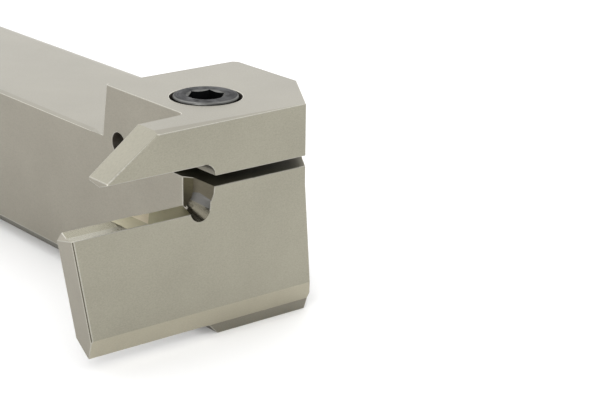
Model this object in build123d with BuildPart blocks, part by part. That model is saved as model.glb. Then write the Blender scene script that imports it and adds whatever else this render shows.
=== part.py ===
from build123d import *

import os
from math import radians, tan

# Grooving tool holder for turning, of the 90 degree kind: a square shank, and a head whose upper part
# is a flexing jaw. One clamp screw pulls the jaw down across a slit, so that its arm presses the insert
# into the seat on top of the support blade. Millimetres, +Z up, +X along the shank towards the head.
# The origin is on the shank's underside, mid width, below the foot of the head's rear shoulder.

# ---- Shank ----
SHANK = 25.0                  # square bar, width and height
OVERALL_LENGTH = 150.0        # rear end to the head's front face
FRONT_X = 28.6                # the head's front face
REAR_X = FRONT_X - OVERALL_LENGTH
SIDE_Y = -SHANK / 2           # the side that the blade and arm stand out from
FAR_Y = SHANK / 2
TOP_BEVEL_WIDE = 1.0          # shallow bevels along the long edges of the shank's top
TOP_BEVEL_DROP = 0.18
BASE_CHAMFER = 2.8            # long edges of the shank's underside
REAR_CHAMFER = 1.2
RUN_OUT = 3.0                 # the top bevels fade out over this length before the head
RUN_OUT_END_WIDE = 0.3
RUN_OUT_END_DROP = 0.02

# ---- Head ----
HEAD_TOP = SHANK + 8.3
SHOULDER_LEAN = 1.4           # how far the rear shoulder leans forward over its height
SHOULDER_RADIUS = 1.0
CORNER_X = 17.1               # the head's far front corner is cut off from here
CORNER_WIDTH = 7.3            # and this much of the front face goes
CORNER_DRAFT = 3.6            # degrees; below DRAFT_TOP the cut leans outwards
DRAFT_TOP = 21.0
CORNER_FOOT_Z = 2.6           # below this the cut leans back in
CORNER_FOOT_LEAN = 18.0       # degrees
SHOULDER_EDGE = 0.7           # chamfer on the rear shoulder's upright edges
FRONT_EDGE_WIDE = 1.5         # shallow bevel on the front face's top edge, at the nose of the arm
FRONT_EDGE_NARROW = 0.2       # and at the cut corner
FRONT_EDGE_DROP = 0.25

# ---- Slit and its relief hole ----
SLIT_BOTTOM = 23.75
SLIT_TOP = 25.3
RELIEF_HOLE_X = 5.05
RELIEF_HOLE_Z = 24.6
RELIEF_HOLE_R = 1.8

# ---- Support blade ----
BLADE_BACK_X = 24.3
BLADE_BOTTOM = 1.6
BLADE_REACH = 22.9            # from the side face to the tip, at the seat
BLADE_FOOT_REACH = 19.7       # the same at the bottom; the end face is cut back for clearance
SEAT_Z = 20.4
BEVEL_TOP = 5.0               # bevel along the front face's lower edge
BEVEL_DEPTH = 1.8
FOOT_X = FRONT_X - BEVEL_DEPTH
BACK_BEVEL_TOP = 4.2          # the blade's back is bevelled too
BLADE_ROOT_R = 1.5
TIP_EDGE = 0.25               # chamfer on the tip's front upright edge
TIP_CORNER_REACH = 0.95       # the tip's back top corner is cut by a small slanting facet
TIP_CORNER_DROP = 1.2

# ---- Seat, from the tip inwards: V groove, land, oblique run-out, relief floor ----
GROOVE_END = 13.9             # reaches from the side face
GROOVE_DEPTH = 0.2
LAND_END = 10.5
RUN_OUT_REACH = 7.5
FLOOR_DROP = 0.1

# ---- Upper arm ----
ARM_ROOT_BACK_X = 22.6        # the back of the arm's top, at the side face
ARM_NOSE_BACK_X = 23.05       # and where the nose begins to slope
ARM_BACK_LEAN = 3.5           # degrees; the arm is thinner at its foot
ARM_UNDERSIDE = 27.2
ARM_RIDGE_X = 26.5            # V ridge that presses on the insert
ARM_RIDGE_DEPTH = 0.7
NOSE_TOP_REACH = 8.2          # the nose slopes from here
NOSE_TIP_REACH = 17.05        # to here
NOSE_TIP_Z = 27.45
NOSE_EDGE = 0.2               # chamfer along the slope's front edge
ARM_ROOT_R = 1.2

# ---- Pocket corner: insert stop and the two cutter reliefs ----
STOP_DEPTH = 1.0              # the stop wall stands this far inside the side face
STOP_WALL_FRONT = (           # its foot and the ledge below, as reach and height, at the front face
    (-1.02, 23.6),
    (-0.87, 22.6),
    (-0.47, 21.73),
    (-0.3, 21.55),
    (-0.24, 20.6),
    (0, 20.0),
)
STOP_WALL_BACK = (            # and at POCKET_BACK_X
    (-1.02, 23.6),
    (-1.05, 22.5),
    (-1.09, 21.41),
    (-1.08, 21.26),
    (-0.95, 20.6),
    (-0.5, 19.9),
)
STOP_TOP = SLIT_BOTTOM + 0.5  # the cut runs up into the slit
POCKET_BACK_X = 22.0          # a slanting back wall joins the side face here
STOP_BACK_X = 23.3            # to the stop wall here
BACK_WALL_FOOT = 19.2         # it runs down to here behind the blade
BACK_WALL_FOOT_DEPTH = 0.46
UPPER_RELIEF = (0.75, 25.25)  # reach and height of the upper relief's axis
UPPER_RELIEF_R = 1.95
LOWER_RELIEF = (1.5, 20.6)    # the lower relief tapers; its axis at the front face
LOWER_RELIEF_R = 1.7
LOWER_RELIEF_END = (0.02, 20.4)  # and at POCKET_BACK_X
LOWER_RELIEF_END_R = 0.8

# ---- Clamp screw, an M6 socket cap screw, and its hole ----
SCREW_X = 16.4
SCREW_Y = -4.2
SCREW_R = 3.0
SCREW_HEAD_R = 5.0
SCREW_HEAD_HEIGHT = 6.0
SCREW_HEAD_ROUND = 0.7
SCREW_STANDS_PROUD = 0.3      # the screw's head over the top of the jaw
SCREW_LENGTH = 16.0
SCREW_TIP_CHAMFER = 0.7
HEX_ACROSS_FLATS = 5.0
HEX_DEPTH = 3.0
HEX_TURN = 13.0               # degrees, with the screw tightened
COUNTERBORE_R = 5.5
JAW_HOLE_R = 3.3
THREAD_CLEARANCE = 0.05       # between the screw and its tapped hole, on the radius
SCREW_SEAT = HEAD_TOP + SCREW_STANDS_PROUD - SCREW_HEAD_HEIGHT
THREAD_SPARE = 2.5            # tapped depth left below the screw's tip
TAPPED_BOTTOM = SCREW_SEAT - SCREW_LENGTH - THREAD_SPARE

MARGIN = 1.0                  # how far a cutter reaches past the face it cuts
NEAR = 0.01                   # tolerance for picking edges by their place


def out(reach):
    """Y of a point that stands this far out from the side face."""
    return SIDE_Y - reach


def top_bevel(edge_y, wide, drop):
    """Corners of a triangle whose long side bevels the shank's top edge at edge_y."""
    outward = edge_y / abs(edge_y)
    outer_y = edge_y + outward * wide
    return (
        (edge_y - 2 * outward * wide, SHANK + drop),
        (outer_y, SHANK - 2 * drop),
        (outer_y, SHANK + drop),
    )


# =====================================================================================
# Inner end of the insert pocket, cut from the holder body below
# =====================================================================================
with BuildPart() as stop_pocket:
    # Stop wall and the ledge at its foot, which run deeper towards the back.
    for section_x, wall in ((POCKET_BACK_X, STOP_WALL_BACK), (FRONT_X, STOP_WALL_FRONT)):
        with BuildSketch(Plane.YZ.offset(section_x)):
            with BuildLine():
                Polyline(
                    (SIDE_Y, SEAT_Z),
                    (out(MARGIN), SEAT_Z),
                    (out(MARGIN), STOP_TOP),
                    (out(-STOP_DEPTH), STOP_TOP),
                    *((out(reach), height) for reach, height in wall),
                    close=True,
                )
            make_face()
    loft(ruled=True)

    # Tapering lower relief.
    with BuildSketch(Plane.YZ.offset(POCKET_BACK_X)):
        with Locations((out(LOWER_RELIEF_END[0]), LOWER_RELIEF_END[1])):
            Circle(LOWER_RELIEF_END_R)
    with BuildSketch(Plane.YZ.offset(FRONT_X)):
        with Locations((out(LOWER_RELIEF[0]), LOWER_RELIEF[1])):
            Circle(LOWER_RELIEF_R)
    loft()

    # Slanting back wall.
    back_wall_run = Vector(STOP_BACK_X - POCKET_BACK_X, STOP_DEPTH, 0)
    back_wall_inner = Vector(POCKET_BACK_X, SIDE_Y, 0) + back_wall_run * 3
    with BuildSketch(Plane.XY):
        with BuildLine():
            Polyline(
                (POCKET_BACK_X, out(2 * LOWER_RELIEF_R + MARGIN)),
                (POCKET_BACK_X, SIDE_Y),
                (back_wall_inner.X, back_wall_inner.Y),
                (FRONT_X + MARGIN, back_wall_inner.Y),
                (FRONT_X + MARGIN, out(2 * LOWER_RELIEF_R + MARGIN)),
                close=True,
            )
        make_face()
    extrude(amount=HEAD_TOP, mode=Mode.INTERSECT)

# =====================================================================================
# Holder body: shank, head, jaw, arm and support blade are one piece of steel
# =====================================================================================
with BuildPart() as holder_body:
    # Shank and head together, from their side outline.
    with BuildSketch(Plane.XZ):
        with BuildLine():
            Polyline(
                (REAR_X, 0),
                (FOOT_X, 0),
                (FOOT_X, BLADE_BOTTOM),
                (FRONT_X, BEVEL_TOP),
                (FRONT_X, HEAD_TOP),
                (SHOULDER_LEAN, HEAD_TOP),
                (0, SHANK),
                (REAR_X, SHANK),
                close=True,
            )
        make_face()
    extrude(amount=SHANK / 2, both=True)
    shoulder_face = faces().filter_by(lambda face: face.normal_at().X < -0.9).sort_by(Axis.X)[-1]
    shoulder_sides = shoulder_face.edges().filter_by(Axis.Y, reverse=True)
    chamfer(shoulder_sides, SHOULDER_EDGE)
    shoulder_foot = edges().filter_by(Axis.Y).filter_by_position(Axis.X, -NEAR, NEAR)
    fillet(shoulder_foot, SHOULDER_RADIUS)

    # Wide chamfers along the shank's underside, and all round its rear end.
    base_edges = edges().filter_by(Axis.X).group_by(Axis.Z)[0]
    chamfer(base_edges, BASE_CHAMFER)
    chamfer(faces().sort_by(Axis.X)[0].edges(), REAR_CHAMFER)

    # Shallow bevels along the shank's top, which fade out before the head.
    for edge_y in (SIDE_Y, FAR_Y):
        with BuildSketch(Plane.YZ.offset(-RUN_OUT)):
            Polygon(*top_bevel(edge_y, TOP_BEVEL_WIDE, TOP_BEVEL_DROP), align=None)
        extrude(amount=REAR_X + RUN_OUT - MARGIN, mode=Mode.SUBTRACT)
        with BuildSketch(Plane.YZ.offset(-RUN_OUT)):
            Polygon(*top_bevel(edge_y, TOP_BEVEL_WIDE, TOP_BEVEL_DROP), align=None)
        with BuildSketch(Plane.YZ):
            Polygon(*top_bevel(edge_y, RUN_OUT_END_WIDE, RUN_OUT_END_DROP), align=None)
        loft(mode=Mode.SUBTRACT)

    # Support blade, standing out from the side wall; its end face is cut back towards the bottom.
    with BuildSketch(Plane.YZ.offset(BLADE_BACK_X)):
        with BuildLine():
            Polyline(
                (SIDE_Y + BASE_CHAMFER, SEAT_Z),
                (out(BLADE_REACH), SEAT_Z),
                (out(BLADE_FOOT_REACH), BLADE_BOTTOM),
                (SIDE_Y + BASE_CHAMFER, BLADE_BOTTOM),
                close=True,
            )
        make_face()
    extrude(amount=FRONT_X - BLADE_BACK_X)

    # Bevel along the lower edge of the whole front face.
    with BuildSketch(Plane.XZ.offset(-FAR_Y - MARGIN)):
        with BuildLine():
            Polyline(
                (FRONT_X, BEVEL_TOP),
                (FOOT_X, BLADE_BOTTOM),
                (FOOT_X, -MARGIN),
                (FRONT_X + MARGIN, -MARGIN),
                (FRONT_X + MARGIN, BEVEL_TOP),
                close=True,
            )
        make_face()
    extrude(amount=SHANK + BLADE_REACH + 2 * MARGIN, mode=Mode.SUBTRACT)

    # The blade's root is filleted into the side wall.
    on_side_wall = edges().filter_by_position(Axis.Y, SIDE_Y - NEAR, SIDE_Y + NEAR)
    blade_root = on_side_wall.filter_by(Axis.Z).filter_by_position(Axis.X, BLADE_BACK_X - NEAR, FOOT_X)
    fillet(blade_root, BLADE_ROOT_R)

    # Bevel along the blade's lower back edge.
    with BuildSketch(Plane.XZ.offset(-SIDE_Y)):
        with BuildLine():
            Polyline(
                (FOOT_X, BLADE_BOTTOM),
                (BLADE_BACK_X, BACK_BEVEL_TOP),
                (BLADE_BACK_X - MARGIN, BACK_BEVEL_TOP),
                (BLADE_BACK_X - MARGIN, BLADE_BOTTOM),
                close=True,
            )
        make_face()
    extrude(amount=BLADE_REACH + MARGIN, mode=Mode.SUBTRACT)

    # Upper arm: a section with a V ridge below, run out sideways from the head.
    with BuildSketch(Plane.XZ.offset(-SIDE_Y - MARGIN)):
        with BuildLine():
            Polyline(
                (FRONT_X, ARM_UNDERSIDE),
                (FRONT_X, HEAD_TOP),
                (ARM_ROOT_BACK_X, HEAD_TOP),
                (ARM_ROOT_BACK_X, ARM_UNDERSIDE),
                (ARM_RIDGE_X, ARM_UNDERSIDE - ARM_RIDGE_DEPTH),
                close=True,
            )
        make_face()
    extrude(amount=NOSE_TIP_REACH + MARGIN)

    # The arm's back leans, and the arm grows thinner towards its nose.
    arm_taper = (ARM_NOSE_BACK_X - ARM_ROOT_BACK_X) / NOSE_TOP_REACH
    arm_end_reach = NOSE_TIP_REACH + 2 * MARGIN
    back_lean = Vector(tan(radians(ARM_BACK_LEAN)), 0, -1)
    with BuildSketch(Plane.XY.offset(HEAD_TOP)):
        with BuildLine():
            Polyline(
                (ARM_ROOT_BACK_X, SIDE_Y),
                (ARM_ROOT_BACK_X + arm_taper * arm_end_reach, out(arm_end_reach)),
                (ARM_ROOT_BACK_X - MARGIN, out(arm_end_reach)),
                (ARM_ROOT_BACK_X - MARGIN, SIDE_Y),
                close=True,
            )
        make_face()
    extrude(amount=HEAD_TOP - SLIT_TOP, dir=back_lean, mode=Mode.SUBTRACT)

    # The arm's root is filleted into the side wall.
    on_side_wall = edges().filter_by_position(Axis.Y, SIDE_Y - NEAR, SIDE_Y + NEAR)
    arm_root = on_side_wall.filter_by_position(Axis.X, ARM_ROOT_BACK_X - NEAR, BLADE_BACK_X)
    fillet(arm_root.filter_by_position(Axis.Z, ARM_UNDERSIDE, HEAD_TOP - NEAR), ARM_ROOT_R)

    # Sloping nose of the arm, lightly chamfered along its front edge.
    with BuildSketch(Plane.YZ.offset(ARM_ROOT_BACK_X - MARGIN)):
        with BuildLine():
            Polyline(
                (out(NOSE_TOP_REACH), HEAD_TOP),
                (out(NOSE_TIP_REACH), NOSE_TIP_Z),
                (out(NOSE_TIP_REACH + MARGIN), NOSE_TIP_Z),
                (out(NOSE_TIP_REACH + MARGIN), HEAD_TOP + MARGIN),
                (out(NOSE_TOP_REACH), HEAD_TOP + MARGIN),
                close=True,
            )
        make_face()
    extrude(amount=FRONT_X - ARM_ROOT_BACK_X + 2 * MARGIN, mode=Mode.SUBTRACT)
    front_edges = edges().filter_by_position(Axis.X, FRONT_X - NEAR, FRONT_X + NEAR)
    nose_middle = (out((NOSE_TOP_REACH + NOSE_TIP_REACH) / 2), (HEAD_TOP + NOSE_TIP_Z) / 2)
    chamfer(front_edges.sort_by_distance((FRONT_X, *nose_middle))[0], NOSE_EDGE)

    # Shallow bevel on the front face's top edge, widest at the nose of the arm.
    edge_run = Vector(FRONT_EDGE_WIDE - FRONT_EDGE_NARROW, SHANK + NOSE_TOP_REACH - CORNER_WIDTH, 0)
    edge_fall = Vector(FRONT_EDGE_WIDE, 0, -FRONT_EDGE_DROP)
    edge_start = (FRONT_X - FRONT_EDGE_WIDE, out(NOSE_TOP_REACH), HEAD_TOP)
    with BuildSketch(Plane(edge_start, x_dir=edge_run, z_dir=edge_fall.cross(edge_run))):
        Rectangle(2 * edge_run.length, 4 * MARGIN, align=(Align.CENTER, Align.MAX))
    extrude(amount=2 * MARGIN, mode=Mode.SUBTRACT)

    # The blade's front upright edge is lightly chamfered at its tip.
    tip_edges = edges().filter_by_position(Axis.X, FRONT_X - NEAR, FRONT_X + NEAR).sort_by(Axis.Y)
    chamfer(tip_edges[0], TIP_EDGE)

    # The tip's back top corner is cut by a small slanting facet.
    tip_top = Vector(FRONT_X, out(BLADE_REACH), SEAT_Z)
    tip_along = Vector(BLADE_BACK_X - FRONT_X, TIP_CORNER_REACH, 0)
    tip_down = Vector(BLADE_BACK_X - FRONT_X, 0, -TIP_CORNER_DROP)
    with BuildSketch(Plane(tip_top, x_dir=tip_along, z_dir=tip_along.cross(tip_down))):
        Rectangle(3 * (FRONT_X - BLADE_BACK_X), 3 * TIP_CORNER_DROP)
    extrude(amount=MARGIN, mode=Mode.SUBTRACT)

    # The far front corner of the head is cut off: upright above, leaning outwards below.
    corner_length = FRONT_X - CORNER_X
    corner_line = Vector(corner_length, -CORNER_WIDTH, 0)
    corner_outwards = Vector(CORNER_WIDTH, corner_length, 0).normalized()
    corner_start = (CORNER_X, FAR_Y, DRAFT_TOP)
    with BuildSketch(Plane(corner_start, x_dir=corner_line, z_dir=corner_outwards)):
        Rectangle(3 * corner_length, HEAD_TOP + MARGIN - DRAFT_TOP, align=(Align.CENTER, Align.MAX))
    extrude(amount=CORNER_WIDTH + MARGIN, mode=Mode.SUBTRACT)
    corner_leaning = corner_outwards + Vector(0, 0, tan(radians(CORNER_DRAFT)))
    with BuildSketch(Plane(corner_start, x_dir=corner_line, z_dir=corner_leaning)):
        Rectangle(3 * corner_length, DRAFT_TOP + 2 * MARGIN, align=(Align.CENTER, Align.MIN))
    extrude(amount=CORNER_WIDTH + MARGIN, mode=Mode.SUBTRACT)
    corner_shift = (DRAFT_TOP - CORNER_FOOT_Z) * tan(radians(CORNER_DRAFT))
    corner_foot = Vector(CORNER_X, FAR_Y, CORNER_FOOT_Z) + corner_outwards * corner_shift
    corner_under = corner_outwards - Vector(0, 0, tan(radians(CORNER_FOOT_LEAN)))
    with BuildSketch(Plane(corner_foot, x_dir=corner_line, z_dir=corner_under)):
        Rectangle(3 * corner_length, 2 * CORNER_FOOT_Z, align=(Align.CENTER, Align.MIN))
    extrude(amount=CORNER_WIDTH + MARGIN, mode=Mode.SUBTRACT)

    # Slit that frees the jaw, from its relief hole out through the front face.
    with BuildSketch(Plane.XZ):
        with Locations(((RELIEF_HOLE_X + FRONT_X + MARGIN) / 2, (SLIT_BOTTOM + SLIT_TOP) / 2)):
            Rectangle(FRONT_X + MARGIN - RELIEF_HOLE_X, SLIT_TOP - SLIT_BOTTOM)
        with Locations((RELIEF_HOLE_X, RELIEF_HOLE_Z)):
            Circle(RELIEF_HOLE_R)
    extrude(amount=SHANK / 2 + MARGIN, both=True, mode=Mode.SUBTRACT)

    # Upper relief of the pocket corner, bored from the front face.
    with BuildSketch(Plane.YZ.offset(STOP_BACK_X)):
        with Locations((out(UPPER_RELIEF[0]), UPPER_RELIEF[1])):
            Circle(UPPER_RELIEF_R)
    extrude(amount=FRONT_X + MARGIN - STOP_BACK_X, mode=Mode.SUBTRACT)

    # Stop wall, ledge and lower relief, which all end at the slanting back wall.
    add(stop_pocket.part, mode=Mode.SUBTRACT)

    # The back wall runs down behind the blade.
    back_wall_slope = (STOP_BACK_X - POCKET_BACK_X) / STOP_DEPTH
    with BuildSketch(Plane.XY.offset(BACK_WALL_FOOT)):
        with BuildLine():
            Polyline(
                (POCKET_BACK_X, SIDE_Y),
                (POCKET_BACK_X + back_wall_slope * BACK_WALL_FOOT_DEPTH, out(-BACK_WALL_FOOT_DEPTH)),
                (BLADE_BACK_X, SIDE_Y),
                close=True,
            )
        make_face()
    extrude(amount=SEAT_Z - BACK_WALL_FOOT, mode=Mode.SUBTRACT)

    # V groove along the outer half of the seat.
    groove_mid_x = (BLADE_BACK_X + FRONT_X) / 2
    with BuildSketch(Plane.XZ.offset(-out(GROOVE_END))):
        with BuildLine():
            Polyline(
                (BLADE_BACK_X, SEAT_Z),
                (groove_mid_x, SEAT_Z - GROOVE_DEPTH),
                (FRONT_X, SEAT_Z),
                close=True,
            )
        make_face()
    extrude(amount=BLADE_REACH + MARGIN - GROOVE_END, mode=Mode.SUBTRACT)

    # Relief floor behind the insert's rear edge, and the oblique run-out that leads down to it.
    with BuildSketch(Plane.XY.offset(SEAT_Z - FLOOR_DROP)):
        with BuildLine():
            Polyline(
                (BLADE_BACK_X, out(LOWER_RELIEF_END[0])),
                (BLADE_BACK_X, out(RUN_OUT_REACH)),
                (FRONT_X, out(LAND_END)),
                (FRONT_X, out(LOWER_RELIEF[0])),
                close=True,
            )
        make_face()
    extrude(amount=FLOOR_DROP + MARGIN, mode=Mode.SUBTRACT)
    with BuildSketch(Plane.YZ.offset(BLADE_BACK_X - MARGIN)):
        with BuildLine():
            Polyline(
                (out(LAND_END), SEAT_Z),
                (out(RUN_OUT_REACH), SEAT_Z - FLOOR_DROP),
                (out(RUN_OUT_REACH), SEAT_Z),
                close=True,
            )
        make_face()
    extrude(amount=FRONT_X - BLADE_BACK_X + 2 * MARGIN, mode=Mode.SUBTRACT)

    # Counterbored hole for the clamp screw, clear through the jaw and tapped below the slit.
    with BuildSketch(Plane.XY.offset(SCREW_SEAT)):
        with Locations((SCREW_X, SCREW_Y)):
            Circle(COUNTERBORE_R)
    extrude(amount=HEAD_TOP + MARGIN - SCREW_SEAT, mode=Mode.SUBTRACT)
    with BuildSketch(Plane.XY.offset(SLIT_BOTTOM)):
        with Locations((SCREW_X, SCREW_Y)):
            Circle(JAW_HOLE_R)
    extrude(amount=SCREW_SEAT - SLIT_BOTTOM, mode=Mode.SUBTRACT)
    with BuildSketch(Plane.XY.offset(TAPPED_BOTTOM)):
        with Locations((SCREW_X, SCREW_Y)):
            Circle(SCREW_R + THREAD_CLEARANCE)
    extrude(amount=SLIT_BOTTOM - TAPPED_BOTTOM, mode=Mode.SUBTRACT)
holder_body.part.label = "holder_body"

# =====================================================================================
# Clamp screw: socket cap screw with a rounded head and a hexagon socket
# =====================================================================================
with BuildPart() as clamp_screw:
    with BuildSketch(Plane.XY.offset(SCREW_SEAT)):
        with Locations((SCREW_X, SCREW_Y)):
            Circle(SCREW_HEAD_R)
    extrude(amount=SCREW_HEAD_HEIGHT)
    fillet(edges().group_by(Axis.Z)[-1], SCREW_HEAD_ROUND)
    with BuildSketch(Plane.XY.offset(SCREW_SEAT)):
        with Locations((SCREW_X, SCREW_Y)):
            Circle(SCREW_R)
    extrude(amount=-SCREW_LENGTH)
    chamfer(edges().group_by(Axis.Z)[0], SCREW_TIP_CHAMFER)
    with BuildSketch(Plane.XY.offset(SCREW_SEAT + SCREW_HEAD_HEIGHT)):
        with Locations((SCREW_X, SCREW_Y)):
            RegularPolygon(HEX_ACROSS_FLATS / 2, 6, major_radius=False, rotation=HEX_TURN)
    extrude(amount=-HEX_DEPTH, mode=Mode.SUBTRACT)
clamp_screw.part.label = "clamp_screw"

os.makedirs("parts", exist_ok=True)
export_step(holder_body.part, "parts/holder_body.step")
export_step(clamp_screw.part, "parts/clamp_screw.step")
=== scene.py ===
"""Looks of a turning tool holder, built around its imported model.

Sizes are in metres unless a name says otherwise, with +Z up and +X towards the head.
"""

import logging
from dataclasses import dataclass
from enum import Enum
from math import cos, pi, radians, sin

import bmesh
import bpy
from mathutils import Matrix, Vector


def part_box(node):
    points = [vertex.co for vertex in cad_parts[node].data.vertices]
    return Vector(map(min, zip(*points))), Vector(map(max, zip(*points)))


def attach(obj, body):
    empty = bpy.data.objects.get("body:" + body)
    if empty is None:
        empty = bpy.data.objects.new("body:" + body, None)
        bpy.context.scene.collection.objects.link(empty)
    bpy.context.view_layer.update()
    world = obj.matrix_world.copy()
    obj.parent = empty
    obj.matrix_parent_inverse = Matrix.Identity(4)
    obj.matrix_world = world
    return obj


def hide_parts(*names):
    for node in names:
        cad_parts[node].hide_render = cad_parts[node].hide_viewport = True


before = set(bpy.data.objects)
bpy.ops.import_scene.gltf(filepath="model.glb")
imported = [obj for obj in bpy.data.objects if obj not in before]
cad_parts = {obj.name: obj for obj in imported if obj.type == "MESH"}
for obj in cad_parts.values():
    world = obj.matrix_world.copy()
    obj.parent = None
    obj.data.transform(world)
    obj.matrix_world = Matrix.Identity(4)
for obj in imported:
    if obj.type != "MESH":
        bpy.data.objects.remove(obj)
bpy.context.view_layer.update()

log = logging.getLogger("tool_holder")
MM = 0.001

Triple = tuple[float, float, float]


class Zone(Enum):
    """Surfaces of the holder, by material index. SATIN and NOTCH are finishes; EDGE is wear with a
    painted highlight; STOP, LEDGE, RELIEF, BACK, SLIT and UNDER are darkened as painted shade;
    BORE, FRONT, SLOPE and SIDE are lightened as painted light; FOOT_BEVEL, SEAT, SEAT_FLOOR, LAND
    and RUN_OUT carry painted reflections.
    """

    SATIN = 0
    EDGE = 1
    STOP = 2
    LEDGE = 3
    RELIEF = 4
    BACK = 5
    SEAT = 6
    SEAT_FLOOR = 7
    BORE = 8
    SLIT = 9
    NOTCH = 10
    FRONT = 11
    FOOT_BEVEL = 12
    SLOPE = 13
    UNDER = 14
    LAND = 15
    RUN_OUT = 16
    SIDE = 17


class ScrewZone(Enum):
    """Surfaces of the screw, by material index. TURNED and THREAD are finishes; SOCKET is darkened
    as painted shade; WORN is lighter as wear and as a painted highlight.
    """

    TURNED = 0
    SOCKET = 1
    THREAD = 2
    WORN = 3


# =====================================================================================
# Shader node groups
# =====================================================================================
def add_node(tree: bpy.types.NodeTree, kind: str, **settings: object) -> bpy.types.Node:
    """Adds a node to a tree.

    Args:
        tree: The tree.
        kind: The node's type name.
        settings: Attributes to set on it. A list called values sets its inputs in order, and
            None skips one.

    Returns:
        The new node.
    """
    node = tree.nodes.new(kind)
    values = settings.pop("values", [])
    for key, value in settings.items():
        setattr(node, key, value)
    for socket, value in zip(node.inputs, values):
        if value is not None:
            socket.default_value = value
    return node


class NodeGroup:
    """A shader node group under construction, with short ways to add and join nodes."""

    def __init__(self, name: str, inputs: dict[str, float], outputs: dict[str, str]) -> None:
        """Makes an empty group.

        Args:
            name: The group's name.
            inputs: Float inputs and their defaults.
            outputs: Outputs and their socket types.
        """
        self.tree = bpy.data.node_groups.new(name, "ShaderNodeTree")
        for label, default in inputs.items():
            socket = self.tree.interface.new_socket(
                name=label, in_out="INPUT", socket_type="NodeSocketFloat"
            )
            socket.default_value = default
        for label, kind in outputs.items():
            self.tree.interface.new_socket(name=label, in_out="OUTPUT", socket_type=kind)
        self.source = self.tree.nodes.new("NodeGroupInput")
        self.sink = self.tree.nodes.new("NodeGroupOutput")

    def add(self, kind: str, **settings: object) -> bpy.types.Node:
        """Adds a node to the group, as add_node does."""
        return add_node(self.tree, kind, **settings)

    def link(self, start: bpy.types.NodeSocket, end: bpy.types.NodeSocket) -> None:
        """Joins two sockets."""
        self.tree.links.new(start, end)

    def math(self, operation: str, first: object, second: object = None) -> bpy.types.NodeSocket:
        """Adds a math node.

        Args:
            operation: Its operation.
            first: Its first input, a socket or a number.
            second: Its second input.

        Returns:
            Its output.
        """
        node = self.add("ShaderNodeMath", operation=operation)
        for socket, value in zip(node.inputs, (first, second)):
            if isinstance(value, bpy.types.NodeSocket):
                self.link(value, socket)
            elif value is not None:
                socket.default_value = value
        return node.outputs[0]


def grain_group() -> bpy.types.NodeTree:
    """Noise drawn out along each axis as asked: a round grain, or the fine lines of milling.

    Returns:
        The group, with inputs X, Y and Z, the grain's size in millimetres, and output Height.
    """
    sizes = dict.fromkeys("XYZ", 0.3)
    group = NodeGroup("metal_grain", sizes, {"Height": "NodeSocketFloat"})
    place = group.add("ShaderNodeTexCoord")
    stretch = group.add("ShaderNodeCombineXYZ")
    for axis in range(3):
        per_metre = group.math("DIVIDE", 1 / MM, group.source.outputs[axis])
        group.link(per_metre, stretch.inputs[axis])
    laid = group.add("ShaderNodeVectorMath", operation="MULTIPLY")
    group.link(place.outputs["Object"], laid.inputs[0])
    group.link(stretch.outputs[0], laid.inputs[1])
    noise = group.add("ShaderNodeTexNoise", noise_dimensions="3D")
    noise.inputs["Scale"].default_value = 1.0
    noise.inputs["Detail"].default_value = 3.0
    noise.inputs["Roughness"].default_value = 0.6
    group.link(laid.outputs[0], noise.inputs["Vector"])
    group.link(noise.outputs["Fac"], group.sink.inputs["Height"])
    return group.tree


def tone_group() -> bpy.types.NodeTree:
    """Varies a colour gently with a mask around 0.5: darker under it and lighter over it.

    Returns:
        The group, with inputs Mask, Depth and Colour, and output Colour.
    """
    group = NodeGroup("tone", {"Mask": 0.5, "Depth": 0.1}, {"Colour": "NodeSocketColor"})
    group.tree.interface.new_socket(name="Colour", in_out="INPUT", socket_type="NodeSocketColor")
    centred = group.math("SUBTRACT", group.source.outputs["Mask"], 0.5)
    scaled = group.math("MULTIPLY", centred, group.source.outputs["Depth"])
    factor = group.math("ADD", scaled, 1.0)
    tinted = group.add("ShaderNodeVectorMath", operation="SCALE")
    group.link(group.source.outputs["Colour"], tinted.inputs[0])
    group.link(factor, tinted.inputs["Scale"])
    group.link(tinted.outputs[0], group.sink.inputs["Colour"])
    return group.tree


def rings_group(axis: Vector) -> bpy.types.NodeTree:
    """Turning marks: irregular rings round an upright axis.

    Args:
        axis: A point on the axis.

    Returns:
        The group, with input Pitch in millimetres and output Height.
    """
    group = NodeGroup("turning_rings", {"Pitch": 0.12}, {"Height": "NodeSocketFloat"})
    place = group.add("ShaderNodeTexCoord")
    centred = group.add(
        "ShaderNodeVectorMath", operation="SUBTRACT", values=[None, (axis.x, axis.y, 0.0)]
    )
    group.link(place.outputs["Object"], centred.inputs[0])
    flat = group.add("ShaderNodeVectorMath", operation="MULTIPLY", values=[None, (1.0, 1.0, 0.0)])
    group.link(centred.outputs[0], flat.inputs[0])
    reach = group.add("ShaderNodeVectorMath", operation="LENGTH")
    group.link(flat.outputs[0], reach.inputs[0])
    per_metre = group.math("DIVIDE", 1 / MM, group.source.outputs["Pitch"])
    rings = group.add("ShaderNodeTexNoise", noise_dimensions="1D")
    rings.inputs["Scale"].default_value = 1.0
    rings.inputs["Detail"].default_value = 2.0
    group.link(group.math("MULTIPLY", reach.outputs["Value"], per_metre), rings.inputs["W"])
    group.link(rings.outputs["Fac"], group.sink.inputs["Height"])
    return group.tree


# =====================================================================================
# Finishes, and materials with painted light and shade
# =====================================================================================
NOISE_LOW, NOISE_HIGH = 0.3, 0.7  # Levels between which the noise mostly stays.
TONE_GAIN = 4  # Makes up for the narrow range of the noise.


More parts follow.
